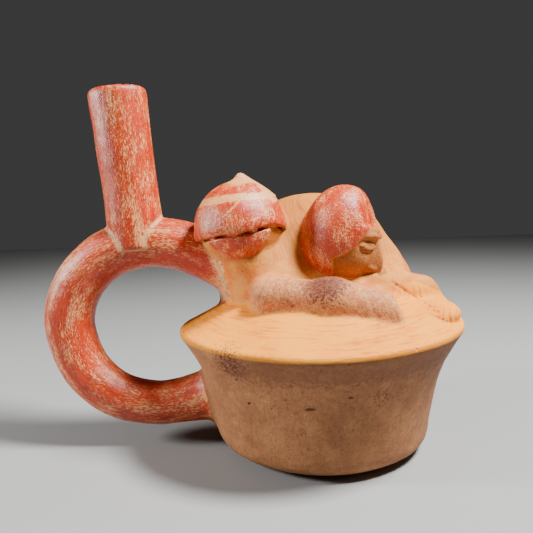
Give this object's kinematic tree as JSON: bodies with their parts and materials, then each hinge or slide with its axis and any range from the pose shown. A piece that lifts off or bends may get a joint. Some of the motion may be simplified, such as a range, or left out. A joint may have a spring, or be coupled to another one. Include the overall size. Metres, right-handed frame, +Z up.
{
  "type": "stirrup spout vessel",
  "caption": "Hollow fired-clay vessel with a flared chamber, two reclining figures on its shoulder, and a tubular side stirrup carrying the spout.",
  "frame": {"origin": "middle of the flat foot, on its underside", "axes": "+Z up out of the foot along the chamber's axis; the stirrup springs from the wall towards -X and lies in the XZ plane; the two figures' heads are on the -Y side"},
  "size_m": [0.2217, 0.1488, 0.1902],
  "materials": {
    "clay": "burnished red and cream slip over buff clay, worn"
  },
  "bodies": {
    "root": {"vessel": "clay"}
  },
  "joints": []
}
